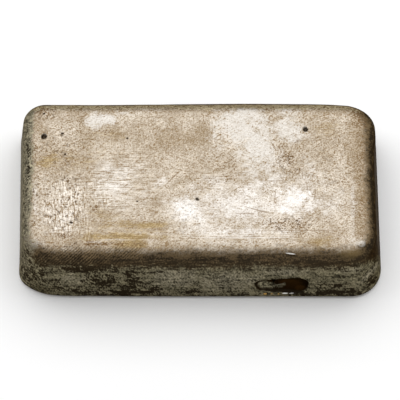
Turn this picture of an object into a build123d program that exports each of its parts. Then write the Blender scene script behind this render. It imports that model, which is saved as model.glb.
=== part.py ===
from build123d import *

import os
from math import cos, radians, sin, tan

# A small cast metal ingot, lying on its wider, poured face with the floor of the mould on top
# Millimetres, +Z up, with the origin at the centre of the underside and the length along X

# The bar, measured along its underside before any edge is rounded
foot_length = 67.5  # half way across
foot_width = 37.2
bar_height = 12.95
left_skew = 0.2  # degrees by which each end runs out of square
right_skew = 1.2

# Each wall leans in by its own draft, in degrees, as the mould's walls do
front_draft = 8.5
back_draft = 9.0
left_draft = 4.0
right_draft = 5.2

# Rounding of the four upright corners
front_left_corner = 6.2
front_right_corner = 5.8
back_right_corner = 5.0
back_left_corner = 4.0

# Rounding of the edge round the top, and of the rim where the metal drew away from the mould
shoulder_radius = 2.4
rim_radius = 0.9

# Cavity in the front wall, where the metal chilled before the mould was full
cavity_span = 6.4  # from the middle of its shallow end to the middle of its deep end
shallow_end_radius = 1.5
deep_end_radius = 2.3
cavity_reach = 14.8  # from the middle of the bar to the middle of the span
cavity_level = 4.05  # height of the middle of the span
cavity_turn = 9.0  # degrees by which the deep end goes into the wall
cavity_dip = 1.5  # degrees by which the deep end lies lower

# Gas pores in the top
large_pore = 1.1
middle_pore = 1.0
small_pore = 0.7
fine_pore = 0.5

# Places of the pores as shares of the length and of the width, from the middle
pore_place_shares = [
    (-0.432, 0.241, large_pore),
    (0.292, 0.282, middle_pore),
    (-0.007, -0.125, small_pore),
    (-0.358, -0.258, small_pore),
    (-0.381, 0.253, fine_pore),
]

with BuildPart() as ingot:
    # The block, with its ends out of square
    with BuildSketch():
        with BuildLine():
            left_lean = foot_width / 2 * tan(radians(left_skew))
            right_lean = foot_width / 2 * tan(radians(right_skew))
            # How far each end reaches past half the length once its corner is rounded, evened out by the shift
            left_reach = left_lean - back_left_corner * tan(radians(left_skew))
            right_reach = right_lean - front_right_corner * tan(radians(right_skew))
            shift = (left_reach - right_reach) / 2
            Polyline(
                (shift - foot_length / 2 + left_lean, -foot_width / 2),
                (shift + foot_length / 2 + right_lean, -foot_width / 2),
                (shift + foot_length / 2 - right_lean, foot_width / 2),
                (shift - foot_length / 2 - left_lean, foot_width / 2),
                close=True,
            )
        make_face()
    extrude(amount=bar_height)

    # The walls lean in from the underside, which is as wide as the mouth of the mould
    for axis, place, angle in [
        (Axis.Y, 0, front_draft),
        (Axis.Y, -1, back_draft),
        (Axis.X, 0, left_draft),
        (Axis.X, -1, right_draft),
    ]:
        draft(ingot.faces().sort_by(axis)[place], Plane.XY, angle)

    # Upright corners, then the shoulder all round the top, then the rim
    for x_sign, y_sign, radius in [
        (-1, -1, front_left_corner),
        (1, -1, front_right_corner),
        (1, 1, back_right_corner),
        (-1, 1, back_left_corner),
    ]:
        near = (x_sign * foot_length / 2, y_sign * foot_width / 2, bar_height / 2)
        fillet(ingot.edges().sort_by_distance(near)[0], radius)
    fillet(ingot.faces().sort_by(Axis.Z)[-1].edges(), shoulder_radius)
    fillet(ingot.faces().sort_by(Axis.Z)[0].edges(), rim_radius)

    # The cavity: a turned drop, set into the front wall on a slant
    cavity_front = -foot_width / 2 + cavity_level * tan(radians(front_draft))
    turn = radians(cavity_turn)
    dip = radians(cavity_dip)
    drop_plane = Plane(
        origin=(cavity_reach, cavity_front, cavity_level),
        x_dir=(cos(dip) * cos(turn), cos(dip) * sin(turn), -sin(dip)),
        z_dir=(sin(turn), -cos(turn), 0),
    )
    with BuildSketch(drop_plane):
        with Locations((-cavity_span / 2, 0)):
            Circle(shallow_end_radius)
        with Locations((cavity_span / 2, 0)):
            Circle(deep_end_radius)
        make_hull()
        split(bisect_by=Plane.XZ)
    revolve(axis=Axis(drop_plane.origin, drop_plane.x_dir), mode=Mode.SUBTRACT)

    # The gas pores: small round pits in the top
    for length_share, width_share, size in pore_place_shares:
        with Locations((length_share * foot_length, width_share * foot_width, bar_height)):
            Sphere(size / 2, mode=Mode.SUBTRACT)

ingot.part.label = "ingot"
os.makedirs("parts", exist_ok=True)
export_step(ingot.part, "parts/ingot.step")
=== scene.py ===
import math

import bpy
import numpy as np
from mathutils import Matrix


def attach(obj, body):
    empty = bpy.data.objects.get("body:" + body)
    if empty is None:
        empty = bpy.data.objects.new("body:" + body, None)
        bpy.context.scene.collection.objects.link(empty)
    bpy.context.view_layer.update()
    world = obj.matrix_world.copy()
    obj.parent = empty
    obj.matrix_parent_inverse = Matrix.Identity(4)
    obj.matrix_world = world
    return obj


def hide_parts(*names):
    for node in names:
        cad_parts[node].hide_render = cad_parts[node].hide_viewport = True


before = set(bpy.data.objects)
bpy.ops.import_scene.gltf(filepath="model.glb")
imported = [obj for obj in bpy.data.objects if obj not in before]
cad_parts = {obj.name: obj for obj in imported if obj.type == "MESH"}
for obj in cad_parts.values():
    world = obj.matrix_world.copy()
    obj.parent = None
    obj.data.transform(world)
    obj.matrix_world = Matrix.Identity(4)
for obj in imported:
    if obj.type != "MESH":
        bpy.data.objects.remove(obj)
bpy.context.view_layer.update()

millimetre = 0.001

# Where the camera stands. Flaws and stains below are placed by where they show in the picture.
shot = {
    "elevation": 60.0,  # degrees above level, looking along +Y
    "distance": 1162.0,  # millimetres
    "aim": (0.0, -1.04, 6.475),
    "pictureSide": 400.0,  # pixels
    "pixelsPerMm": 5.346,
    "sensor": 36.0,
    "clip": (0.01, 50.0),  # metres
}
cameraTilt = math.radians(shot["elevation"])
toCamera = np.array([0, -math.cos(cameraTilt), math.sin(cameraTilt)])

# The bar's own sizes, in millimetres and degrees. Walls go front, right, back, left.
bar = {
    "footLength": 67.5,
    "footWidth": 37.2,
    "height": 12.95,
    "skews": (0.0, 1.2, 0.0, 0.2),
    "drafts": (8.5, 5.2, 9.0, 4.0),
    "corners": (5.8, 5.0, 4.0, 6.2),  # front right, back right, back left, front left
    "shoulder": 2.4,
    "crown": (1.8, 1.8, 0.7, 0.7),  # how far each shoulder is drawn out over the top
    "rim": 0.9,
    "halfCornerCells": 12,
    "longCells": 276,  # along the straight of a long wall
    "shortCells": 104,
    "rimRows": 5,
    "lowWallRows": 34,  # close together, as far up as the cavity goes
    "highWallRows": 7,
    "lowWallTop": 6.8,
    "shoulderRows": 16,
    "undersideRings": 5,
    "cavityCells": (1.6, 0.765, 0.10),  # extra cells near the cavity, their middle and half width as shares
    "spacingSteps": 2001,
}
partCode = {"band": 0, "top": 1, "under": 2}  # where on the mesh a point lies


def smoothStep(low, high, value):
    # 0 below low, 1 above high, and 3t^2 - 2t^3 between
    share = np.clip((value - low) / (high - low), 0, 1)
    return share * share * (3 - 2 * share)


def drift(points, cell, seed):
    # smooth noise from 0 to 1: hashed values at the corners of cubes of that size, blended by 3t^2 - 2t^3
    scaled = points / cell
    base = np.floor(scaled).astype(np.int64)
    share = scaled - base
    share = share * share * (3 - 2 * share)
    total = np.zeros(len(points))
    for corner in range(8):
        step = np.array([corner & 1, corner >> 1 & 1, corner >> 2 & 1])
        key = ((base + step) * np.array([73856093, 19349663, 83492791])).sum(1) + seed * 2654435
        key = key & 0xFFFFFFFF
        key = ((key ^ (key >> 15)) * 1274126177) & 0xFFFFFFFF
        key = ((key ^ (key >> 13)) * 1103515245) & 0xFFFFFFFF
        value = ((key ^ (key >> 16)) & 0xFFFF) / 65535
        total += value * np.where(step, share, 1 - share).prod(1)
    return total


def swing(points, depth, cell, seed):
    # that noise, stretched to run from -depth to depth
    return depth * (2 * drift(points, cell, seed) - 1)


def ringPlan():
    # one turn round the bar, from the middle of the front left corner: for each point the two corners that it
    # lies between, its share of the way, its outward direction, and the two walls that give its height
    facing = np.radians(np.array([-90, 0, 90, 180]) + bar["skews"])
    half = bar["halfCornerCells"]
    fromCorner, toCorner, share, direction, fromWall, toWall, lift = [], [], [], [], [], [], []
    for wall in range(4):
        before, after = (wall - 1) % 4, wall
        turnIn = (facing[wall] - facing[before]) % (2 * math.pi)
        turnOut = (facing[(wall + 1) % 4] - facing[wall]) % (2 * math.pi)
        cells = bar["longCells"] if wall % 2 == 0 else bar["shortCells"]
        along = np.arange(1, cells) / cells
        if wall == 0:
            along = frontSpacing(along)
        stepsIn = np.arange(half, 2 * half + 1) / (2 * half)
        stepsOut = np.arange(0, half) / (2 * half)
        count = len(stepsIn) + len(along) + len(stepsOut)
        fromCorner += [before] * (len(stepsIn) + len(along)) + [after] * len(stepsOut)
        toCorner += [before] * len(stepsIn) + [after] * (len(along) + len(stepsOut))
        share += [*np.zeros(len(stepsIn)), *along, *np.zeros(len(stepsOut))]
        direction += [*(facing[wall] - turnIn * (1 - stepsIn)), *np.full(len(along), facing[wall])]
        direction += [*(facing[wall] + turnOut * stepsOut)]
        fromWall += [before] * len(stepsIn) + [wall] * (count - len(stepsIn))
        toWall += [wall] * (len(stepsIn) + len(along)) + [(wall + 1) % 4] * len(stepsOut)
        lift += [*stepsIn, *np.zeros(len(along)), *stepsOut]
    return {
        "fromCorner": np.array(fromCorner),
        "toCorner": np.array(toCorner),
        "share": np.array(share),
        "direction": np.array(direction),
        "fromWall": np.array(fromWall),
        "toWall": np.array(toWall),
        "lift": np.array(lift),
        "facing": facing,
    }


def frontSpacing(along):
    # closer steps where the cavity is: their density is 1 plus a bump there, added up and scaled to 0 to 1
    extra, middle, half = bar["cavityCells"]
    fine = np.linspace(0, 1, bar["spacingSteps"])
    density = 1 + extra * np.exp(-(((fine - middle) / half) ** 4))
    reached = np.concatenate([[0], np.cumsum((density[1:] + density[:-1]) / 2)])
    return np.interp(along * reached[-1], reached, fine)


def profileRows():
    # from the underside up, for each wall: height, inset from the foot and slope of the outward normal. The
    # rim and the shoulder are arcs about z = radius and z = height - radius, and the wall is their tangent.
    # The shoulder's inset also grows by the crown times its share squared, so that it runs out over the top.
    draft = np.radians(bar["drafts"])
    rim, shoulder, height = bar["rim"], bar["shoulder"], bar["height"]
    rimAngle = -math.pi / 2 + np.linspace(0, 1, bar["rimRows"])[:, None] * (draft + math.pi / 2)
    rimCentre = rim * (np.tan(draft) + 1 / np.cos(draft))
    rimZ, rimInset = rim + rim * np.sin(rimAngle), rimCentre - rim * np.cos(rimAngle)
    shoulderAngle = draft + np.linspace(0, 1, bar["shoulderRows"])[:, None] * (math.pi / 2 - draft)
    shoulderCentre = (height - shoulder) * np.tan(draft) + shoulder / np.cos(draft)
    shoulderZ = height - shoulder + shoulder * np.sin(shoulderAngle)
    grown = (shoulderAngle - draft) / (math.pi / 2 - draft)
    crown = np.array(bar["crown"])
    shoulderInset = shoulderCentre - shoulder * np.cos(shoulderAngle) + crown * grown**2
    inward = shoulder * np.sin(shoulderAngle) + 2 * crown * grown / (math.pi / 2 - draft)
    shoulderSlope = np.arctan2(inward, shoulder * np.cos(shoulderAngle))
    low = np.linspace(0, 1, bar["lowWallRows"] + 1)[1:, None]
    high = np.linspace(0, 1, bar["highWallRows"] + 1)[1:-1, None]
    lowZ = rimZ[-1] + (bar["lowWallTop"] - rimZ[-1]) * low
    highZ = bar["lowWallTop"] + (shoulderZ[0] - bar["lowWallTop"]) * high
    wallZ = np.concatenate([lowZ, highZ])
    z = np.concatenate([rimZ, wallZ, shoulderZ])
    inset = np.concatenate([rimInset, wallZ * np.tan(draft), shoulderInset])
    slope = np.concatenate([rimAngle, np.broadcast_to(draft, wallZ.shape), shoulderSlope])
    return z, inset, slope


def sideBand(plan, z, inset, slope):
    # each row is a four-sided outline with rounded corners: a corner's centre lies its radius in from both
    # walls, and a point is that centre plus the radius along its direction, or on a straight between two such
    facing = plan["facing"]
    normals = np.stack([np.cos(facing), np.sin(facing)], 1)
    skew = np.radians(bar["skews"])
    over = np.tan(skew)[[1, 3]] * (bar["footWidth"] / 2 - np.array([bar["corners"][0], bar["corners"][2]]))
    shift = (over[1] - over[0]) / 2  # brings the middle of the uneven ends onto the origin
    half = np.array([bar["footWidth"], bar["footLength"]] * 2) / 2 + shift * np.array([0, 1, 0, -1])
    reach = half * np.cos(skew)
    extra = inset - z * np.tan(np.radians(bar["drafts"]))
    nextWall = [1, 2, 3, 0]
    radius = np.array(bar["corners"]) - (extra + extra[:, nextWall]) / 2
    centres = np.zeros((len(z), 4, 2))
    for corner in range(4):
        pair = [corner, nextWall[corner]]
        inside = reach[pair] - inset[:, pair] - radius[:, [corner]]
        centres[:, corner] = inside @ np.linalg.inv(normals[pair]).T
    out = np.stack([np.cos(plan["direction"]), np.sin(plan["direction"])], 1)
    ends = [centres[:, plan[end]] + radius[:, plan[end], None] * out for end in ("fromCorner", "toCorner")]
    flat = ends[0] + (ends[1] - ends[0]) * plan["share"][:, None]

    def between(table):
        # each point's own value, between those of its two walls
        return table[:, plan["fromWall"]] * (1 - plan["lift"]) + table[:, plan["toWall"]] * plan["lift"]

    lean = between(slope)
    points = np.concatenate([flat, between(z)[..., None]], 2)
    normal = np.concatenate([np.cos(lean)[..., None] * out, np.sin(lean)[..., None]], 2)
    return points, normal


def topPatch(ring, longCount, shortCount):
    # the flat top between its edges: both pairs of edges blended across, less the blend of the four corners
    front = ring[: longCount + 1]
    right = ring[longCount : longCount + shortCount + 1]
    back = ring[longCount + shortCount : 2 * longCount + shortCount + 1][::-1]
    left = np.concatenate([ring[2 * longCount + shortCount :], ring[:1]])[::-1]
    u = np.linspace(0, 1, longCount + 1)[None, :, None]
    v = np.linspace(0, 1, shortCount + 1)[:, None, None]
    across = (1 - v) * front[None] + v * back[None]
    along = (1 - u) * left[:, None] + u * right[:, None]
    square = (1 - v) * ((1 - u) * front[0] + u * front[-1]) + v * ((1 - u) * back[0] + u * back[-1])
    return across + along - square


def barMesh():
    # the band round the sides, the top patch on its last row and rings closing the underside on its first row
    plan = ringPlan()
    z, inset, slope = profileRows()
    band, bandNormal = sideBand(plan, z, inset, slope)
    rows, around = band.shape[:2]
    longCount = bar["longCells"] + 2 * bar["halfCornerCells"]
    shortCount = bar["shortCells"] + 2 * bar["halfCornerCells"]
    top = topPatch(band[-1], longCount, shortCount)
    rings = bar["undersideRings"]
    shrink = 1 - np.arange(1, rings)[:, None, None] / rings
    under = band[0][None] * shrink
    pieces = [band, top[1:-1, 1:-1], under, np.zeros((1, 3))]
    points = np.concatenate([piece.reshape(-1, 3) for piece in pieces])
    topCount, underCount = (longCount - 1) * (shortCount - 1), (rings - 1) * around + 1
    topNormal, underNormal = np.tile([0, 0, 1.0], (topCount, 1)), np.tile([0, 0, -1.0], (underCount, 1))
    normals = np.concatenate([bandNormal.reshape(-1, 3), topNormal, underNormal])

    place = np.arange(around)
    after = np.roll(place, -1)
    start = np.arange(rows - 1)[:, None] * around
    bandFaces = np.stack([start + place, start + after, start + around + after, start + around + place], 2)
    grid = np.zeros((shortCount + 1, longCount + 1), int)
    lastRow = (rows - 1) * around
    grid[0] = lastRow + place[: longCount + 1]
    grid[:, -1] = lastRow + place[longCount : longCount + shortCount + 1]
    grid[-1] = lastRow + place[longCount + shortCount : 2 * longCount + shortCount + 1][::-1]
    grid[1:, 0] = lastRow + place[2 * longCount + shortCount :][::-1]
    grid[1:-1, 1:-1] = rows * around + np.arange(topCount).reshape(shortCount - 1, longCount - 1)
    topFaces = np.stack([grid[:-1, :-1], grid[:-1, 1:], grid[1:, 1:], grid[1:, :-1]], 2)
    firstRing = rows * around + topCount
    ringStart = np.concatenate([[0], firstRing + np.arange(rings - 1) * around])
    outer, inner = ringStart[:-1, None], ringStart[1:, None]
    underFaces = np.stack([outer + after, outer + place, inner + place, inner + after], 2)
    centre = len(points) - 1
    fan = np.stack([ringStart[-1] + after, ringStart[-1] + place, np.full(around, centre)], 1)
    quads = np.concatenate([faces.reshape(-1, 4) for faces in (bandFaces, topFaces, underFaces)])
    counts = [rows * around, topCount, underCount]
    part = np.repeat([partCode["band"], partCode["top"], partCode["under"]], counts)
    return points, normals, quads, fan, part


def picturePlace(points):
    # where a point shows in the picture, in pixels: its offset from the aim along the picture's right and up,
    # larger the nearer it is
    offset = points - np.array(shot["aim"])
    up = offset[:, 1] * math.sin(cameraTilt) + offset[:, 2] * math.cos(cameraTilt)
    scale = shot["pixelsPerMm"] * shot["distance"] / (shot["distance"] - offset @ toCamera)
    return shot["pictureSide"] / 2 + offset[:, 0] * scale, shot["pictureSide"] / 2 - up * scale


def ellipse(px, py, x, y, halfWide, halfHigh, turn):
    # distance from an ellipse's centre in units of its radius; a positive turn raises its right end
    angle = math.radians(turn)
    along = ((px - x) * math.cos(angle) - (py - y) * math.sin(angle)) / halfWide
    across = ((px - x) * math.sin(angle) + (py - y) * math.cos(angle)) / halfHigh
    return np.hypot(along, across)


def softSpots(px, py, spots, wobble, fade):
    # the strongest of several ellipses, each fading out between two shares of its radius
    strongest = np.zeros(len(px))
    for x, y, halfWide, halfHigh, turn, strength in spots:
        away = ellipse(px, py, x, y, halfWide, halfHigh, turn) + wobble
        strongest = np.maximum(strongest, strength * (1 - smoothStep(*fade, away)))
    return strongest


# Relief of the casting, in millimetres. Each noise has its depth, the size of its cells and its seed.
casting = {
    "wave": (0.07, 9.0, 3),
    "dent": (0.03, 2.6, 5),
    "wallHeights": (0.9, 3.0),  # between which waves and dents grow to their full depth
    "topWave": (0.05, 7.0, 9),
    "sinkDeep": 0.45,  # the poured face draws in as it sets
    "sinkFrom": (2, 15),  # distances from the edge over which it does
    "sinkWave": (0.08, 4.0, 17),
    "sinkWaveFrom": (1.5, 4),
    # outward way, how far out, middle and half length along the wall, heights between which a swell grows
    "swells": [
        ((0, 1), 0.26, 9.0, 19.0, 5.0, 11.0),
        ((0, 1), -0.35, 29.6, 3.4, 5.0, 11.0),
        ((1, 0), 0.40, 11.0, 4.0, 4.0, 10.0),
        ((0, -1), -0.6, -30.5, 3.5, 4.0, 0.6),
        ((0, -1), -0.12, -22.0, 8.0, 4.0, 0.6),
        ((-1, 0), 0.45, -15.6, 2.2, 5.0, 0.6),
    ],
    "bead": (361.7, 244.2, 4.6, 3.9, 0.16),  # pixel across and down, half width and half height, how far out
    "beadEdge": (1.0, 0.5),  # shares of its radius over which the bead rises
    "beadDimple": (0.7, 0.4, 0.1),  # how much of it goes down again in the middle, and over which shares
    "poreEdge": (1.15, 0.45),
    "topFacing": 0.97,  # how far up a normal points, at the least, where there are pores
    "frontFacing": 0.9,  # how far forward, where the cavity is
    "seenFacing": 0.1,  # how far towards the camera, where the bead or a flaw shows
    "pores": [  # pixel across, pixel down, half width and half height in pixels, turn, depth
        (44.0, 136.0, 3.1, 2.4, 20, 0.5),
        (305.4, 128.8, 2.7, 2.3, -25, 0.5),
        (197.4, 198.8, 2.2, 1.2, -25, 0.35),
        (70.8, 221.8, 2.1, 1.1, -15, 0.3),
        (62.4, 134.1, 1.8, 1.2, 20, 0.25),
        (44.0, 113.4, 1.3, 0.95, 0, 0.2),
        (127.3, 137.8, 1.3, 1.0, 0, 0.2),
        (65.6, 153.8, 1.4, 1.0, 0, 0.1),
        (136.7, 201.2, 1.2, 0.9, 0, 0.1),
    ],
    "hollowEnds": ((11.6, 4.12, 1.5), (18.0, 3.98, 2.3)),  # across, up and radius of the cavity's two ends
    "hollowDeep": (0.55, 1.75),  # of the tongue of metal at its shallow end, and past it
    "tongueEnd": (0.28, 0.46),  # shares of the cavity's length over which the tongue falls away
    "lipSteep": 0.16,  # shares of the radius over which the cavity's upper and lower edges go in
    "sillSteep": 0.8,
    "lipRough": (0.11, 0.9, 41),
    "tongueRough": (0.1, 0.8, 42),  # in shares of the length
}


def hollowShape(points):
    # how far each point of the front wall goes in: the distance inside an outline round the line between the
    # two ends, with a radius that grows along it and noise on its edge, made a bowl by 1 - (1 - t)^2
    (ax, az, aRadius), (bx, bz, bRadius) = casting["hollowEnds"]
    run = np.array([bx - ax, bz - az])
    offset = points[:, [0, 2]] - np.array([ax, az])
    share = np.clip(offset @ run / (run @ run), 0, 1)
    away = offset - share[:, None] * run
    radius = aRadius + (bRadius - aRadius) * share
    within = radius - np.linalg.norm(away, axis=1) + swing(points, *casting["lipRough"])
    steep = np.where(away[:, 1] > 0, casting["lipSteep"], casting["sillSteep"]) * radius
    bowl = 1 - (1 - np.clip(within / steep, 0, 1)) ** 2
    tongue = 1 - smoothStep(*casting["tongueEnd"], share + swing(points, *casting["tongueRough"]))
    shallow, deep = casting["hollowDeep"]
    return bowl * (deep + (shallow - deep) * tongue), bowl


def shapeRelief(points, normals, part):
    # moves each point along its normal by the waves and dents, out by the swells and the bead, and in by the
    # pores, the cavity and the sink: each is a depth times smooth steps of the distance from its middle
    z = points[:, 2]
    under = part == partCode["under"]
    upward = np.clip(normals[:, 2], 0, 1) ** 4
    depth = swing(points, *casting["wave"]) + swing(points, *casting["dent"])
    depth = depth * (1 - upward) * smoothStep(*casting["wallHeights"], z)
    topDeep, topCell, topSeed = casting["topWave"]
    depth = depth + topDeep * drift(points, topCell, topSeed) * upward
    moved = points - normals * np.where(under, 0, depth)[:, None]
    for way, out, middle, half, low, high in casting["swells"]:
        along = points[:, 0] if way[0] == 0 else points[:, 1]
        facing = np.clip(normals[:, :2] @ np.array(way), 0, 1)
        swell = out * np.exp(-(((along - middle) / half) ** 2)) * smoothStep(low, high, z) * facing
        moved[:, :2] += swell[:, None] * np.array(way)

    px, py = picturePlace(points)
    seen = normals @ toCamera > casting["seenFacing"]
    beadX, beadY, halfWide, halfHigh, out = casting["bead"]
    away = ellipse(px, py, beadX, beadY, halfWide, halfHigh, 0)
    dimple, *dimpleEdge = casting["beadDimple"]
    bead = out * (smoothStep(*casting["beadEdge"], away) - dimple * smoothStep(*dimpleEdge, away)) * seen
    moved += normals * bead[:, None]
    onTop = normals[:, 2] > casting["topFacing"]
    for x, y, halfWide, halfHigh, turn, deep in casting["pores"]:
        away = ellipse(px, py, x, y, halfWide, halfHigh, turn)
        moved[:, 2] -= np.where(onTop, deep * smoothStep(*casting["poreEdge"], away), 0)

    depth, bowl = hollowShape(points)
    inFront = normals[:, 1] < -casting["frontFacing"]
    moved[:, 1] += np.where(inFront, depth, 0)

    halfFoot = np.array([bar["footLength"], bar["footWidth"]]) / 2
    fromEdge = (halfFoot - np.abs(points[:, :2])).min(1)
    sinkDeep, sinkCell, sinkSeed = casting["sinkWave"]
    sink = casting["sinkDeep"] * smoothStep(*casting["sinkFrom"], fromEdge)
    sink += sinkDeep * drift(points, sinkCell, sinkSeed) * smoothStep(*casting["sinkWaveFrom"], fromEdge)
    moved[:, 2] += np.where(under, sink, 0)
    return moved, bowl * inFront


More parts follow.
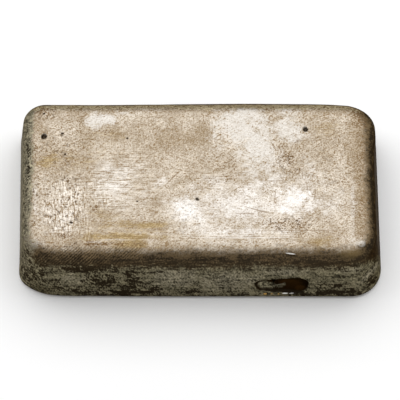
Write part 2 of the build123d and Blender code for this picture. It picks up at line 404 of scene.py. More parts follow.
# Stains and wear, with painted shade and painted highlights among them: pixel across, pixel down, half width,
# half height, turn, strength
wear = {
    "pale": [
        (95, 121, 8, 8, 0, 1.0), (108, 119, 9, 5.5, 0, 0.9), (122, 113, 9, 2.5, 0, 0.5),
        (236, 116, 20, 8, 0, 0.95), (243, 130, 18, 13, 0, 0.95), (256, 148, 15, 18, 25, 0.95),
        (263, 168, 12, 9, 0, 0.75), (222, 115, 8, 8, 0, 0.5), (238, 124, 32, 22, 0, 0.75),
        (256, 152, 24, 26, 0, 0.75), (240, 243, 55, 3.5, 0, 0.5), (359, 243, 11, 6, 0, 0.4),
        (35, 195, 4, 30, 0, 0.5), (31, 236, 6, 12, 0, 0.3), (285, 113, 24, 8, 0, 0.5),
        (275, 170, 22, 14, 0, 0.4), (287, 129, 18, 14, 0, 0.75), (214, 153, 12, 10, 0, 0.4),
        (250, 174, 14, 10, 0, 0.55), (303, 160, 14, 16, 0, 0.35),
    ],
    # white patches of the top: rubbed metal with painted highlights among them, such as the line at x ≈ 353
    "white": [
        (293, 200, 20, 15, 0, 1.0), (287, 210, 12, 6, 0, 1.0), (190, 208, 18, 16, 0, 0.9),
        (205, 228, 35, 9, 0, 0.5), (240, 232, 50, 5, 0, 0.6), (160, 183, 10, 4, 35, 0.55),
        (118, 172, 30, 12, 0, 0.45), (112, 188, 32, 12, 0, 0.5), (66, 200, 32, 28, 0, 0.35),
        (60, 217, 24, 16, 0, 0.4), (42, 215, 9, 28, 0, 0.3), (325, 205, 20, 16, 0, 0.5),
        (353, 205, 3, 40, 0, 0.4), (235, 205, 60, 24, 0, 0.7), (110, 195, 60, 26, 0, 0.3),
        (260, 190, 40, 14, 0, 0.5), (36, 242, 8, 7, 0, 0.5), (310, 206, 12, 12, 0, 0.8),
        (308, 181, 14, 14, 0, 0.45), (197, 190, 14, 9, 0, 0.5),
    ],
    # tan stains; those at x ≈ 360 also paint shade on the right shoulder
    "tan": [
        (81, 124, 4, 11, 0, 0.45), (106, 135, 24, 8, 0, 0.5), (175, 138, 32, 16, 0, 0.6),
        (203, 132, 12, 15, 0, 0.75), (37, 124, 9, 14, 0, 0.6), (156, 203, 15, 10, 0, 0.45),
        (45, 150, 20, 20, 0, 0.3), (327, 128, 20, 12, 0, 0.3), (360, 150, 13, 45, 0, 1.0),
        (362, 214, 10, 28, 0, 1.0), (355, 111, 9, 5, 0, 1.0), (342, 111, 16, 4.5, 0, 1.0),
        (75, 241, 45, 8, 0, 0.4), (130, 245, 30, 6, 0, 1.0), (190, 244, 40, 4.5, 0, 0.5),
        (335, 160, 20, 25, 0, 0.25), (266, 110, 12, 4, 0, 0.6), (55, 112, 26, 6, 0, 0.5),
        (316, 242, 18, 7, 0, 0.8), (180, 182, 18, 4, 30, 0.6), (60, 165, 30, 14, 0, 0.15),
        (86, 136, 8, 14, 0, 0.6), (160, 229, 12, 14, 0, 0.4), (152, 246, 16, 5, 0, 0.6),
    ],
    "gold": [
        (48, 161, 14, 6, 30, 0.9), (76, 160, 18, 8, 0, 0.45), (104, 150, 22, 6, 0, 0.2),
        (70, 169, 26, 6, 0, 0.2), (133, 225, 38, 4.5, 0, 0.75), (148, 225, 20, 3.5, 0, 1.0),
        (127, 237, 34, 4.2, 0, 1.1), (130, 244.5, 26, 4, 0, 0.85), (130, 231, 38, 9, 0, 0.45),
        (105, 215, 16, 5, -14, 0.5), (327, 127, 11, 8, 0, 0.5), (318, 242, 15, 6, 0, 0.6),
        (353, 254, 11, 5, 8, 0.9), (104, 134, 22, 7, -10, 0.25),
    ],
    "brown": [
        (229, 165, 14, 12, 0, 0.65), (222, 179, 19, 5, 0, 0.65), (287, 158, 9, 6, -20, 0.6),
        (298, 171, 10, 5, 0, 0.55), (277, 147, 10, 7, -30, 0.5), (82, 128, 5, 12, 0, 0.4),
        (100, 132, 14, 5, 0, 0.6), (43, 110, 10, 6, 0, 0.5), (94, 208, 8, 5, -40, 0.8),
        (64, 236, 7, 2.2, 0, 0.8), (287, 224, 27, 6, 0, 0.45), (326, 222, 14, 7, 0, 0.5),
        (267, 110, 9, 3, 0, 0.7), (308, 243.5, 9, 4, 0, 0.5), (108, 243.6, 24, 1.6, 0, 0.8),
        (120, 212, 26, 4, -6, 0.4), (245, 213, 14, 3, 0, 0.5), (33, 140, 4, 25, 0, 0.6),
        (35, 215, 6, 30, 0, 0.15), (40, 155, 8, 25, 0, 0.15), (185, 182, 12, 3, 30, 0.4),
        (361, 150, 8, 45, 0, 0.45), (361, 212, 7, 34, 0, 0.45), (362, 118, 12, 14, 0, 0.8),
        (356, 111, 8, 5, 0, 0.7), (359, 134, 6, 18, 0, 0.5), (200, 107, 150, 3, 0, 0.5),
    ],
    "rubAlong": [
        (118, 178, 45, 26, 0, 1.0), (125, 205, 40, 14, 0, 0.7), (130, 232, 45, 10, 0, 1.0),
        (228, 174, 26, 10, 0, 0.8), (285, 224, 32, 9, 0, 0.3), (230, 238, 70, 5, 0, 0.8),
        (110, 135, 30, 8, 0, 0.4),
    ],
    "rubAcross": [
        (66, 203, 30, 32, 0, 0.9), (150, 135, 40, 20, 0, 0.3), (205, 130, 14, 18, 0, 0.4),
        (300, 160, 50, 40, 0, 0.2),
    ],
    "pitted": [
        (64, 200, 26, 28, 0, 1.0), (287, 224, 30, 8, 0, 0.9), (290, 160, 20, 18, 0, 0.6),
        (330, 170, 25, 40, 0, 0.35), (187, 215, 14, 24, 0, 0.4), (34, 200, 6, 50, 0, 0.9),
        (90, 246, 45, 6, 0, 0.9), (44, 115, 12, 8, 0, 0.7), (60, 155, 24, 18, 0, 0.6),
    ],
    # spots where the darker band, painted shade of the shoulder, comes further up
    "bandRaise": [
        (70, 250, 42, 12, 0, 0.6), (345, 250, 30, 10, 0, 0.6), (240, 251, 60, 8, 0, 0.3),
        (287, 250, 22, 6, 0, 0.5),
    ],
    "filed": [(76, 257, 32, 9, 0, 1.0), (120, 254, 26, 7, 0, 0.6), (45, 260, 12, 8, 0, 0.4)],
    # dark patches on the walls; the dark line along the foot (y ≈ 290–293) is painted shadow
    "wallDark": [
        (101, 281, 17, 10, 0, 0.85), (130, 285, 17, 9, 0, 0.75), (55, 289, 12, 4, 0, 0.9),
        (156, 290, 8, 4, 0, 0.9), (193, 292, 9, 3, 0, 0.9), (28, 270, 9, 22, 0, 0.75),
        (132, 273, 22, 4, 0, 0.65), (113, 271, 10, 5, 0, 0.7), (88, 284, 10, 7, 0, 0.6),
        (55, 281, 12, 9, 0, 0.5), (130, 292.5, 26, 3.5, 0, 1.2), (330, 286, 24, 4, 0, 0.7),
        (330, 292, 32, 4.5, 0, 1.4), (345, 268, 24, 6, 0, 0.6), (70, 290, 34, 4, 0, 0.7),
        (372.5, 280, 5.5, 8, -35, 1.0), (29.5, 162, 2.6, 20, 0, 0.8), (29, 195, 3, 24, 0, 0.4),
        (240, 292, 40, 2.5, 0, 0.5), (24, 150, 6, 50, 0, 0.2), (84, 269, 30, 6, 0, 1.0),
        (40, 272, 18, 20, 0, 0.5), (115, 292, 60, 2.5, 0, 0.6), (27, 258, 8, 12, 0, 0.75),
        (32, 264, 13, 12, 0, 0.4), (33, 278, 16, 12, 0, 0.75), (45, 258, 18, 4, 0, 0.6),
        # the strip at x ≈ 373 is painted shade of the right wall
        (372, 252, 7, 14, 0, 0.9), (373, 180, 4, 60, 0, 0.6),
    ],
    # lighter patches on the walls; the streak at the front right corner (371, 272) is a painted highlight,
    # and those on the left wall (x ≈ 24–28) are painted light like the rest of the left side
    "wallPale": [
        (71, 279, 14, 8, 0, 0.55), (175, 279, 27, 10, 0, 0.7), (226, 280, 30, 10, 0, 0.7),
        (283, 272, 26, 4, 0, 0.7), (348, 270, 18, 4, 0, 0.5), (371, 272, 13, 2.6, 48, 1.0),
        (24, 225, 5, 20, 0, 0.4), (28, 242, 5, 6, 0, 1.2),
    ],
    # spots on the left shoulder where the wall finish is taken off, painted light like the rest of the left
    # side
    "leftClear": [(29, 240, 7, 8, 0, 0.55), (31, 222, 5, 12, 0, 0.4)],
    # the tongue at the cavity's shallow end, painted lighter as lit
    "tongue": [
        (264.0, 284.6, 6.2, 4.0, 0, 1.0), (270.5, 285.4, 5.0, 3.2, 0, 1.0),
        (279.0, 285.9, 4.6, 0.9, -4, 0.7), (284.0, 284.2, 1.6, 1.4, 0, 0.8),
    ],
    "rusty": [(300, 287.5, 6, 2.6, 0, 0.9), (290, 284, 12, 5, 0, 0.35)],
}

# Small flaws, painted shadows and painted highlights drawn sharply: pixel across, pixel down, half width,
# half height, turn, colour, strength
flawsShadowsAndGlints = [
    # black under the tongue and along the lower lip: painted shadow
    (281, 290.9, 22, 1.6, -1.5, "wallBlack", 0.95), (292, 291.8, 13, 1.3, 0, "wallBlack", 0.95),
    # the nick: a painted highlight on it and a painted shadow under it
    (290.3, 253.3, 5.2, 0.65, -7, "brightSilver", 1.0), (290.3, 254.7, 5.6, 0.7, -7, "wallBlack", 0.7),
    # the bead: a painted highlight, with a dark centre
    (361.9, 244.2, 4.0, 3.3, 0, "brightSilver", 0.28), (360.9, 244.1, 1.0, 0.9, 0, "tanFilm", 0.8),
    # glints on the lower lip: painted highlights
    (265.0, 293.7, 1.9, 0.8, 0, "goldGlint", 1.0), (271.5, 293.8, 0.9, 0.6, 0, "goldGlint", 0.7),
    (278.5, 293.7, 0.8, 0.7, 0, "goldGlint", 0.7), (285.0, 293.4, 3.0, 0.75, 0, "brightSilver", 1.0),
    (291.5, 293.0, 2.6, 0.7, 6, "rubbedSilverAndSheen", 0.7), (172.5, 177.5, 15, 0.6, 45, "brownStain", 0.7),
    (272, 181, 16, 0.5, 0, "brownStain", 0.45), (275.2, 195.5, 0.5, 10, -6, "brownStain", 0.6),
    (306.5, 185, 0.5, 9, 8, "brownStain", 0.5), (314.3, 194.5, 0.6, 5, -15, "brownStain", 0.6),
    (302, 230.5, 44, 0.5, 0, "brownStain", 0.55), (310, 141, 20, 0.45, 0, "brownStain", 0.35),
    (259, 210.3, 14, 0.7, -15, "brownStain", 0.6), (245, 213.2, 11, 0.6, 0, "brownStain", 0.6),
    # inside the cavity: painted shadow in its hole, a painted highlight on its ridge, and painted shadow
    # along its upper lip and left end
    (276.3, 282.9, 3.2, 1.0, -20, "hollowBrown", 0.9), (279.6, 285.2, 5.4, 0.6, 10, "wallLight", 0.9),
    (256.8, 283.3, 2.2, 0.6, 40, "wallBlack", 0.9), (257.8, 286.6, 2.2, 0.6, -35, "wallBlack", 0.9),
    (262.5, 281.2, 3.2, 0.5, 12, "wallBlack", 0.8), (264.5, 283.0, 0.8, 0.5, 0, "wallBlack", 0.8),
    # lighter centres of the two largest pores: painted highlights
    (45.3, 135.0, 1.1, 0.8, 30, "pourGrey", 0.5), (304.3, 128.2, 1.0, 0.8, 0, "pourGrey", 0.6),
    (40.5, 112.5, 4.0, 0.5, 60, "brownStain", 0.7), (44.5, 109.6, 6.0, 0.5, 15, "brownStain", 0.6),
    # light lines along the top's front edge: painted highlights
    (93, 241.2, 9, 0.9, 2, "rubbedSilverAndSheen", 0.16), (106, 240.3, 8, 0.9, 0, "rubbedSilverAndSheen", 0.22),
    (124, 240.7, 12, 0.9, -1, "rubbedSilverAndSheen", 0.16), (148, 240.2, 11, 0.8, 0, "rubbedSilverAndSheen", 0.14),
    (245, 238, 50, 1.0, 0, "rubbedSilverAndSheen", 0.3),
]

# How the finishes run over the edges: slopes in degrees from level, heights in millimetres, noises as above
edges = {
    "seenFacing": -0.05,  # least that a normal points towards the camera for the lists above
    "upper": (70, 40),  # slopes between which the stains of the top and of the walls come in
    "lower": (8, 35),
    "stainFade": (0.1, 1.7),  # shares of its radius between which a spot fades out
    "wallFade": (0.2, 1.6),
    "leftClearFade": (0.3, 1.4),
    "cavityFade": (0.6, 1.25),
    "cavityWobble": 0.3,  # share of the wobble inside the cavity
    "wobble": [(0.3, 3.0, 23), (0.25, 1.3, 21), (0.2, 0.5, 22)],  # in shares of a spot's radius
    "ragged": [(2.5, 4.5, 33), (3.5, 1.6, 31), (3.0, 0.6, 32)],  # in degrees
    "raggedHeight": 0.12,  # millimetres for each of those degrees
    "bandRaiseReach": 6,  # degrees by which those spots bring the band of painted shade up
    "sideTurn": (0.5, 0.9),  # cosines between which a corner goes over to the next wall
    # the band on the front, right and back shoulders: painted shade where they turn away from the light, with
    # brown tarnish in it
    "frontBand": (0.75, 1, 42),  # strength, and slopes between which it comes in
    "frontBandLow": (0.25, 36, 75),
    "rightBand": (1, 4, 45),
    "backBand": (1, 30, 52),
    "wallHeights": (11.7, 7.0),
    "leftWall": (1, 3, 34),
    "rightWallRows": (250, 268),  # pixels down
    "rightWallHeights": (10, 6),
    "backFilm": (0.55, 2, 10),
    "backFilmEnds": (26, 12),
    # the right side's tan is also painted shade, darker there as if lit from the left
    "rightTanAndShade": (1.1, 0, 8),
    "leftFilm": (0.35, 0, 9),
    "backEdge": (1, 10, 26),
    "backEdgeEnds": (60, 42),
    "hiddenDark": 0.3,
    # painted shadow along the foot of the walls
    "footShadow": (0.8, 1.6, 0.5),  # strength, and heights between which it comes in
    # the left side is painted lighter, as if lit from the left
    "leftPale": 0.8,
    # shares of the cavity's depth over which its inside is painted dark: painted shade
    "hollow": (0.0, 0.15),  # shares of the cavity's depth
    "under": (-0.3, -0.9),  # how far up a normal points
    "flawReach": 1.5,  # most pixels from its place to the point that a flaw is put on
    "flawNearer": 0.6,  # pixels by which a point goes first for each millimetre that it is nearer
}


def graded(strength, low, high, value):
    # a smooth step from 0 at low to that strength at high
    return strength * smoothStep(low, high, value)


def surfaceMarks(points, moved, normals, part, bowl):
    # how much of each finish a point carries, by its slope, by the wall that it faces and by the lists above
    px, py = picturePlace(moved)
    wobble = sum(swing(points, *noise) for noise in edges["wobble"])
    lean = np.degrees(np.arccos(np.clip(normals[:, 2], -1, 1)))
    seen = (normals @ toCamera > edges["seenFacing"]) & (part != partCode["under"])
    upper = smoothStep(*edges["upper"], lean) * seen
    lower = smoothStep(*edges["lower"], lean) * seen
    marks = {}
    for name in ("pale", "white", "tan", "gold", "brown", "rubAlong", "rubAcross", "pitted"):
        marks[name] = softSpots(px, py, wear[name], wobble, edges["stainFade"]) * upper
    for name in ("wallDark", "wallPale"):
        marks[name] = softSpots(px, py, wear[name], wobble, edges["wallFade"]) * lower
    marks["filed"] = softSpots(px, py, wear["filed"], wobble, edges["wallFade"]) * seen
    bandRaise = softSpots(px, py, wear["bandRaise"], wobble, edges["stainFade"]) * seen
    leftClear = softSpots(px, py, wear["leftClear"], wobble, edges["leftClearFade"]) * seen
    inCavity = edges["cavityWobble"] * wobble
    for name in ("tongue", "rusty"):
        marks[name] = softSpots(px, py, wear[name], inCavity, edges["cavityFade"]) * seen * bowl

    # how much of each point belongs to the front, right, back and left, by the way that it faces
    tilted = np.sin(np.radians(np.clip(lean, 1, 90)))
    ways = np.array([(0, -1), (1, 0), (0, 1), (-1, 0)])
    sides = smoothStep(*edges["sideTurn"], ways @ normals[:, :2].T / tilted)
    front, right, back, left = sides / np.maximum(sides.sum(0), 1e-6)

    ragged = sum(swing(points, *noise) for noise in edges["ragged"])
    slope = lean + ragged + edges["bandRaiseReach"] * bandRaise
    height = points[:, 2] + edges["raggedHeight"] * ragged
    # the band: painted shade of the shoulders, with brown tarnish in it
    marks["band"] = front * (graded(*edges["frontBand"], slope) + graded(*edges["frontBandLow"], slope))
    marks["band"] += right * graded(*edges["rightBand"], slope) + back * graded(*edges["backBand"], slope)
    # the lower right wall is painted darker: painted shade, as if lit from the left
    lowRight = smoothStep(*edges["rightWallRows"], py) * smoothStep(*edges["rightWallHeights"], height)
    # the walls: dark tarnish, and painted shade under the shoulders
    marks["wall"] = (front + back) * smoothStep(*edges["wallHeights"], height)
    marks["wall"] += left * graded(*edges["leftWall"], slope) + right * lowRight
    marks["wall"] *= 1 - leftClear
    film = back * graded(*edges["backFilm"], slope) * smoothStep(*edges["backFilmEnds"], slope)
    film += right * graded(*edges["rightTanAndShade"], slope) + left * graded(*edges["leftFilm"], slope)
    marks["tan"] = np.maximum(marks["tan"], film)
    marks["backEdge"] = back * graded(*edges["backEdge"], slope) * smoothStep(*edges["backEdgeEnds"], slope)
    hidden = edges["hiddenDark"] * (1 - seen)
    # painted shadow along the foot
    rim = graded(*edges["footShadow"], points[:, 2]) * seen * (part == partCode["band"])
    marks["wallDark"] = np.maximum.reduce([marks["wallDark"], hidden, rim])
    # the left side painted lighter: painted light
    marks["wallPale"] = np.maximum(marks["wallPale"], edges["leftPale"] * left)
    # the inside of the cavity painted dark as shade, except the tongue
    marks["hollow"] = smoothStep(*edges["hollow"], bowl) * (1 - marks["tongue"])
    marks["under"] = smoothStep(*edges["under"], normals[:, 2])
    return marks


def seenPoint(moved, normals, x, y):
    # the point that shows nearest to a pixel, of those that face the camera, where one in front goes first
    px, py = picturePlace(moved)
    away = np.hypot(px - x, py - y)
    shows = (away < edges["flawReach"]) & (normals @ toCamera > casting["seenFacing"])
    order = away - edges["flawNearer"] * moved @ toCamera
    return tuple(moved[np.argmin(np.where(shows, order, np.inf))])


class Wire:
    # one socket of a material, so that the shader's sums are written as sums of numbers
    def __init__(self, tree, socket):
        self.tree = tree
        self.socket = socket

    def node(self, kind, settings, sockets, output=0):
        # a node of that type with its settings, then the values or links of its sockets
        made = self.tree.nodes.new(kind)
        for name, value in settings.items():
            setattr(made, name, value)
        for name, value in sockets.items():
            target = next(socket for socket in made.inputs if socket.identifier == name)
            if isinstance(value, Wire):
                self.tree.links.new(value.socket, target)
            else:
                target.default_value = value
        return Wire(self.tree, made.outputs[output])

    def maths(self, operation, first, second):
        return self.node("ShaderNodeMath", {"operation": operation}, {"Value": first, "Value_001": second})

    def __add__(self, other):
        return self.maths("ADD", self, other)

    def __radd__(self, other):
        return self.maths("ADD", other, self)

    def __sub__(self, other):
        return self.maths("SUBTRACT", self, other)

    def __rsub__(self, other):
        return self.maths("SUBTRACT", other, self)

    def __mul__(self, other):
        return self.maths("MULTIPLY", self, other)

    def __rmul__(self, other):
        return self.maths("MULTIPLY", other, self)

    def larger(self, other):
        return self.maths("MAXIMUM", self, other)

    def step(self, low, high):
        # 0 at low and 1 at high, smooth between and level past them
        sockets = {"Value": self, "From Min": low, "From Max": high}
        return self.node("ShaderNodeMapRange", {"interpolation_type": "SMOOTHSTEP"}, sockets)

    def blend(self, first, second):
        # one colour where this value is 0 and another where it is 1
        sockets = {"Factor_Float": self, "A_Color": first, "B_Color": second}
        return self.node("ShaderNodeMix", {"data_type": "RGBA"}, sockets, 2)

    def tint(self, other, share):
        # this colour, mixed towards another by that share
        return share.blend(self, other)

    def scaled(self, amount):
        # this colour or vector times a value
        return self.node("ShaderNodeVectorMath", {"operation": "SCALE"}, {"Vector": self, "Scale": amount})

    def stretched(self, factors):
        # this place times a factor along each axis
        sockets = {"Vector": self, "Vector_001": factors}
        return self.node("ShaderNodeVectorMath", {"operation": "MULTIPLY"}, sockets)

    def along(self, way):
        # how far this place lies along a direction
        sockets = {"Vector": self, "Vector_001": way}
        return self.node("ShaderNodeVectorMath", {"operation": "DOT_PRODUCT"}, sockets, 1)

    def noise(self, scale, detail=2.0, roughness=0.5, distortion=0.0):
        # smooth noise, less its middle value
        sockets = {"Vector": self, "Scale": scale, "Detail": detail}
        sockets |= {"Roughness": roughness, "Distortion": distortion}
        return self.node("ShaderNodeTexNoise", {}, sockets) - 0.5

    def brushed(self, turn, length, width):
        # noise drawn out into strokes of that length and width, turned about the upright axis
        sockets = {"Vector": self, "Rotation": (0, 0, math.radians(turn)), "Scale": (length, width, 1)}
        local = self.node("ShaderNodeMapping", {"vector_type": "TEXTURE"}, sockets)
        return local.noise(*finish["drawn"], finish["strokeBend"])

    def mark(self, name):
        # the value of that name that the mesh carries at each point
        return self.node("ShaderNodeAttribute", {"attribute_name": name}, {}, 2)

    def spot(self, centre, halfWide, halfHigh, turn):
        # 1 inside an ellipse that faces the camera, and 0 outside it or too far before or behind it
        towards = Matrix.Rotation(math.pi / 2 - cameraTilt, 3, "X")
        facing = towards @ Matrix.Rotation(math.radians(turn), 3, "Z")
        size = (halfWide, halfHigh, finish["flawDeep"])
        sockets = {"Vector": self, "Location": centre, "Rotation": facing.to_euler(), "Scale": size}
        local = self.node("ShaderNodeMapping", {"vector_type": "TEXTURE"}, sockets)
        away = self.node("ShaderNodeVectorMath", {"operation": "LENGTH"}, {"Vector": local}, 1)
        return away.step(*finish["flawEdge"])


# Colours of the metal and of what lies on it, then the sizes of its marks, noises and strokes
finish = {
    "greySilver": (0.31, 0.258, 0.196, 1),
    "warmSilver": (0.42, 0.368, 0.302, 1),
    "creamSilver": (0.495, 0.467, 0.428, 1),
    "rubbedSilverAndSheen": (0.675, 0.655, 0.63, 1),
    "brightSilver": (0.86, 0.84, 0.80, 1),
    "tanFilm": (0.20, 0.147, 0.087, 1),
    "goldStain": (0.225, 0.158, 0.067, 1),
    "edgeOlive": (0.42, 0.35, 0.215, 1),
    "grainBrown": (0.20, 0.136, 0.072, 1),
    "brownStain": (0.15, 0.09, 0.042, 1),
    "bandBrown": (0.038, 0.028, 0.017, 1),
    "bandTan": (0.17, 0.118, 0.062, 1),
    "wallGrey": (0.134, 0.118, 0.075, 1),
    "wallLight": (0.20, 0.178, 0.124, 1),
    "wallBlack": (0.020, 0.014, 0.008, 1),
    "hollowBrown": (0.014, 0.007, 0.002, 1),
    "hollowRust": (0.066, 0.028, 0.006, 1),
    "poreBlack": (0.024, 0.014, 0.007, 1),
    "pitBrown": (0.060, 0.032, 0.012, 1),
    "goldGlint": (0.60, 0.36, 0.10, 1),
    "pourGrey": (0.30, 0.27, 0.23, 1),
    "filePitch": 0.44,  # millimetres
    "fileTurn": 42.0,  # degrees that the file marks rise to the right, as seen
    "flawDeep": 1.5,  # millimetres before and behind its place that a flaw shows
    "flawEdge": (1.1, 0.7),  # shares of its radius
    "poreStrength": 0.92,
    # noises: cells for each millimetre, detail, roughness and distortion
    "cloud": (0.13, 4.0, 0.6),
    "patch": (0.42, 4.0, 0.65),
    "grain": (2.5, 2.0, 0.6),
    "fine": (3.8, 1.0, 0.5),
    "curl": (0.9, 4.0, 0.7, 2.2),
    "pits": (1.9, 0.0),
    "wallPatch": (0.5, 4.0, 0.65),
    "wallGrain": (2.0, 2.0, 0.65),
    "wallFine": (3.4, 1.0, 0.5),
    "drawn": (1.0, 3.0, 0.7),  # on places that are stretched first
    "wallStretch": (1.0, 1.0, 0.62),
    "wallAlongStretch": (0.3, 1.0, 1.7),
    # strokes: turn in degrees, length and width in millimetres
    "along": (0, 3.2, 0.24),
    "across": (90, 1.3, 0.27),
    "slant": (40, 2.6, 0.30),
    "swirl": (-18, 2.3, 0.30),
    "strokeBend": 0.4,
    "scratchTurn": 50.0,  # degrees that the scratches on the walls lean
    "scratchSize": (1.4, 1.0, 0.38),
    "specularTint": (0.38, 0.36, 0.33, 1),
    "bumpDeep": 0.00006,  # metres
    "bumpStrength": 0.5,
}


def castSilver(markNames, spots):
    # one metal, coloured layer by layer: each is mixed in by its mark plus noise, cut to a soft edge
    material = bpy.data.materials.new("castSilver")
    material.use_nodes = True
    tree = material.node_tree
    shader = tree.nodes["Principled BSDF"]
    start = Wire(tree, None)
    place = start.node("ShaderNodeTexCoord", {}, {}, 3).scaled(1 / millimetre)
    marks = {name: start.mark(name) for name in markNames}

    # noises of the top: even ones, curled strokes, and rubbed lines along and across the bar
    topNoises = ("cloud", "patch", "grain", "fine", "curl", "pits")
    cloud, patch, grain, fine, curl, pits = [place.noise(*finish[name]) for name in topNoises]
    strokes = ("along", "across", "slant", "swirl")
    along, across, slant, swirl = [place.brushed(*finish[name]) for name in strokes]
    # noises of the walls, drawn out upwards because the picture shows the walls foreshortened
    wallPlace = place.stretched(finish["wallStretch"])
    wallNoises = ("wallPatch", "wallGrain", "wallFine")
    wallPatch, wallGrain, wallFine = [wallPlace.noise(*finish[name]) for name in wallNoises]
    wallAlong = place.stretched(finish["wallAlongStretch"]).noise(*finish["drawn"])
    scratchTurn = (0, math.radians(finish["scratchTurn"]), 0)
    sockets = {"Vector": place, "Rotation": scratchTurn, "Scale": finish["scratchSize"]}
    scratch = place.node("ShaderNodeMapping", {"vector_type": "TEXTURE"}, sockets).noise(*finish["drawn"])
    # file marks: a wave across their direction, its phase and strength shifted by noise
    turn = math.radians(finish["fileTurn"])
    upwards = math.cos(turn)
    fileWay = (-math.sin(turn), upwards * math.sin(cameraTilt), upwards * math.cos(cameraTilt))
    phase = place.along(fileWay) * (2 * math.pi / finish["filePitch"]) + patch * 11 + curl * 7
    ridge = phase.node("ShaderNodeMath", {"operation": "SINE"}, {"Value": phase})
    filed = marks["filed"] * (0.5 + 2.0 * patch + 1.5 * grain).step(0.0, 0.9)

    # the metal of the top, by its stains
    colour = cloud.step(-0.14, 0.12).blend(finish["greySilver"], finish["warmSilver"])
    tanShare = (marks["tan"] + 0.8 * patch + 0.8 * curl).step(0.08, 0.8)
    colour = colour.tint(finish["tanFilm"], tanShare * 0.75)
    paleShare = (marks["pale"] + 0.8 * patch + 0.8 * curl).step(0.15, 0.8)
    colour = colour.tint(finish["creamSilver"], paleShare)
    # whiter patches: rubbed metal and painted highlights
    whiteShare = (0.9 * marks["white"] + 0.6 * patch + 1.1 * along + 0.7 * curl).step(0.05, 1.0)
    colour = colour.tint(finish["rubbedSilverAndSheen"], whiteShare)
    edgeShare = (marks["backEdge"] + 0.8 * curl + 0.8 * fine).step(0.1, 0.8)
    colour = colour.tint(finish["edgeOlive"], edgeShare)
    goldShare = (marks["gold"] + 2.8 * along + 1.2 * curl + 0.6 * fine).step(0.1, 1.0)
    colour = colour.tint(finish["goldStain"], goldShare)
    brownShare = (marks["brown"] + 1.5 * curl + 1.5 * swirl).step(0.2, 1.0)
    colour = colour.tint(finish["tanFilm"], brownShare * 0.2)

    # its texture: light grain, brown in its dark, then darker specks
    crisp = 1 - 0.6 * paleShare - 0.7 * marks["white"] * (1 - marks["rubAcross"])
    even = 1 - 0.45 * marks["rubAlong"] - 0.45 * marks["rubAcross"]
    texture = even * (0.8 * grain + 1.3 * fine) + 0.8 * curl + (0.3 + 1.8 * marks["rubAlong"]) * along
    texture = texture + (0.3 + 2.6 * marks["rubAcross"]) * across + 0.7 * slant + 0.7 * swirl
    texture = crisp * texture
    light = texture.larger(0.0)
    colour = colour.scaled(1 + 1.2 * light).tint(finish["brightSilver"], light * 0.35)
    colour = colour.tint(finish["grainBrown"], (0.0 - 3.4 * texture).larger(0.0))
    soil = 0.06 * marks["tan"] + 0.52 * marks["brown"] + 0.26 * marks["pitted"] - 0.15 * marks["white"]
    rubbed = marks["rubAlong"] * along + 1.4 * marks["rubAcross"] * across
    speck = (soil - 1.1 * grain - 1.1 * fine - 0.8 * curl - 0.6 * rubbed - 0.6 * slant).step(0.3, 0.6)
    colour = colour.tint(finish["brownStain"], speck * (0.95 - 0.6 * paleShare))
    colour = colour.tint(finish["pitBrown"], marks["pitted"] * pits.step(0.13, 0.21) * 0.8)

    # the walls: olive grey with pale grain and black specks, gathered into patches; their dark tone is
    # tarnish and painted shade of the walls under the lit top
    wall = (marks["wallPale"] + wallPatch).step(0.0, 0.9).blend(finish["wallGrey"], finish["wallLight"])
    wallTexture = 0.4 * wallGrain + 0.8 * wallFine + 0.9 * wallAlong + 0.7 * scratch
    wall = wall.scaled((1 + 3.7 * wallTexture).larger(0.15))
    black = (0.66 * marks["wallDark"] + 0.9 * wallPatch - 1.3 * wallTexture).step(0.26, 0.55)
    wall = wall.tint(finish["wallBlack"], black * 0.95)
    # the darker band under the edge: painted shade of the shoulder where it turns away from the light, with
    # brown tarnish in it, grainy at both sides
    upper = 1 - marks["band"].step(0.72, 1.0)
    band = (0.6 * wallFine + 0.6 * fine + 1.2 * wallAlong + 0.5 * patch + 0.25 * upper).step(-0.08, 0.45)
    band = band.blend(finish["bandBrown"], finish["bandTan"])
    band = band.tint(finish["wallBlack"], marks["wallDark"] * 0.6)
    band = band.tint(finish["goldStain"], marks["gold"] * 0.7)
    bandShare = (marks["band"] - 0.4 * wallTexture + 0.8 * fine + 0.6 * grain).step(0.04, 0.75)
    colour = colour.tint(band, bandShare)
    wallShare = (marks["wall"] + 0.9 * wallTexture + 0.5 * wallPatch).step(0.15, 0.85)
    colour = colour.tint(wall, wallShare)
    colour = colour.scaled((1 + 1.1 * filed * ridge).larger(0.25))
    colour = colour.tint(finish["bandTan"], filed * ridge.step(0.2, 0.9) * bandShare * 0.7)

    # the cavity with its painted shade and lit tongue, the flaws with their painted shadows and highlights,
    # and the poured face
    # painted shade inside the cavity
    colour = colour.tint(finish["hollowBrown"], marks["hollow"])
    colour = colour.tint(finish["hollowRust"], marks["rusty"] * marks["hollow"])
    # the tongue: the wall finish made lighter, painted light on the shallow floor of the cavity
    colour = colour.tint(wall.scaled(1.3), marks["tongue"])
    colour = colour.tint(finish["pourGrey"], marks["under"] * (0.72 + 0.9 * cloud))
    # flaws, painted shadows and painted highlights, each a sharp ellipse
    for centre, halfWide, halfHigh, spotTurn, name, strength in spots:
        colour = colour.tint(finish[name], place.spot(centre, halfWide, halfHigh, spotTurn) * strength)

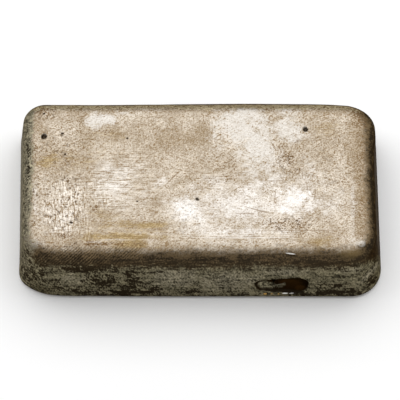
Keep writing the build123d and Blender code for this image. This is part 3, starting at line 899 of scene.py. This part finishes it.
    soiled = wallShare.larger(bandShare).larger(marks["hollow"])
    rough = 0.38 + 0.14 * soiled + grain * 0.3 - 0.06 * paleShare + 0.1 * speck
    height = grain * 0.6 + fine * 0.3 + marks["rubAlong"] * along * 0.6 + marks["rubAcross"] * across * 0.6
    height = height + filed * ridge * 0.3
    sockets = {"Strength": finish["bumpStrength"], "Distance": finish["bumpDeep"], "Height": height}
    bump = start.node("ShaderNodeBump", {}, sockets)
    shader.inputs["Metallic"].default_value = 1.0
    shader.inputs["Specular Tint"].default_value = finish["specularTint"]
    for name, value in {"Base Color": colour, "Roughness": rough, "Normal": bump}.items():
        tree.links.new(value.socket, shader.inputs[name])
    return material


def makeIngot():
    # the moved points and their faces as one mesh, with a value for each mark at each point
    points, normals, quads, fan, part = barMesh()
    moved, bowl = shapeRelief(points, normals, part)
    mesh = bpy.data.meshes.new("castBar")
    mesh.from_pydata(moved * millimetre, [], [*quads.tolist(), *fan.tolist()])
    mesh.polygons.foreach_set("use_smooth", np.ones(len(mesh.polygons), bool))
    marks = surfaceMarks(points, moved, normals, part, bowl)
    for name, values in marks.items():
        mesh.attributes.new(name, "FLOAT", "POINT").data.foreach_set("value", values.astype(np.float32))
    mesh.update()
    piece = bpy.data.objects.new("castBar", mesh)
    bpy.context.scene.collection.objects.link(piece)
    # the pores painted near black: painted shade in the pits
    pores = [(*pore[:5], "poreBlack", finish["poreStrength"]) for pore in casting["pores"]]
    spots = []
    for x, y, halfWide, halfHigh, turn, name, strength in [*pores, *flawsShadowsAndGlints]:
        size = halfWide / shot["pixelsPerMm"], halfHigh / shot["pixelsPerMm"]
        spots.append((seenPoint(moved, normals, x, y), *size, turn, name, strength))
    mesh.materials.append(castSilver(list(marks), spots))
    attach(piece, "root")
    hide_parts("ingot")
    triangles = 2 * len(quads) + len(fan)
    print("bar made:", len(points), "points,", triangles, "triangles")


# Studio: a pale floor, one large soft light above and behind, and an even grey room
studio = {
    "floorHalf": 4.0,
    "floorColour": (0.96, 0.96, 0.96, 1),
    "floorRough": 0.9,
    "lightPlace": (-0.05, 0.325, 0.5),
    "lightSize": (1.60, 0.81),
    "lightPower": 5.75,
    "roomColour": (1, 1, 1, 1),
    "roomGlow": 0.48,
}


def makeStudio():
    # a pale floor, one soft light and an even grey room
    half = studio["floorHalf"]
    mesh = bpy.data.meshes.new("floor")
    corners = [(-half, -half, 0), (half, -half, 0), (half, half, 0), (-half, half, 0)]
    mesh.from_pydata(corners, [], [(0, 1, 2, 3)])
    floor = bpy.data.objects.new("floor", mesh)
    bpy.context.scene.collection.objects.link(floor)
    paint = bpy.data.materials.new("paleFloor")
    paint.use_nodes = True
    paintInputs = paint.node_tree.nodes["Principled BSDF"].inputs
    paintInputs["Base Color"].default_value = studio["floorColour"]
    paintInputs["Roughness"].default_value = studio["floorRough"]
    mesh.materials.append(paint)

    data = bpy.data.lights.new("softBox", "AREA")
    data.shape = "RECTANGLE"
    data.size, data.size_y = studio["lightSize"]
    data.energy = studio["lightPower"]
    light = bpy.data.objects.new("softBox", data)
    light.location = studio["lightPlace"]
    bpy.context.scene.collection.objects.link(light)

    world = bpy.data.worlds.new("room")
    bpy.context.scene.world = world
    world.use_nodes = True
    roomInputs = world.node_tree.nodes["Background"].inputs
    roomInputs["Color"].default_value = studio["roomColour"]
    roomInputs["Strength"].default_value = studio["roomGlow"]
    print("studio made")


def makeCamera():
    # at its distance from the aim, with the lens that gives the picture its pixels for each millimetre there
    data = bpy.data.cameras.new("camera")
    data.sensor_width = shot["sensor"]
    data.lens = shot["sensor"] * shot["distance"] * shot["pixelsPerMm"] / shot["pictureSide"]
    data.clip_start, data.clip_end = shot["clip"]
    camera = bpy.data.objects.new("camera", data)
    camera.location = (np.array(shot["aim"]) + toCamera * shot["distance"]) * millimetre
    camera.rotation_euler = (math.pi / 2 - cameraTilt, 0, 0)
    bpy.context.scene.collection.objects.link(camera)
    bpy.context.scene.camera = camera
    print("camera made")


makeIngot()
makeStudio()
makeCamera()
bpy.context.scene.view_settings.view_transform = "Standard"
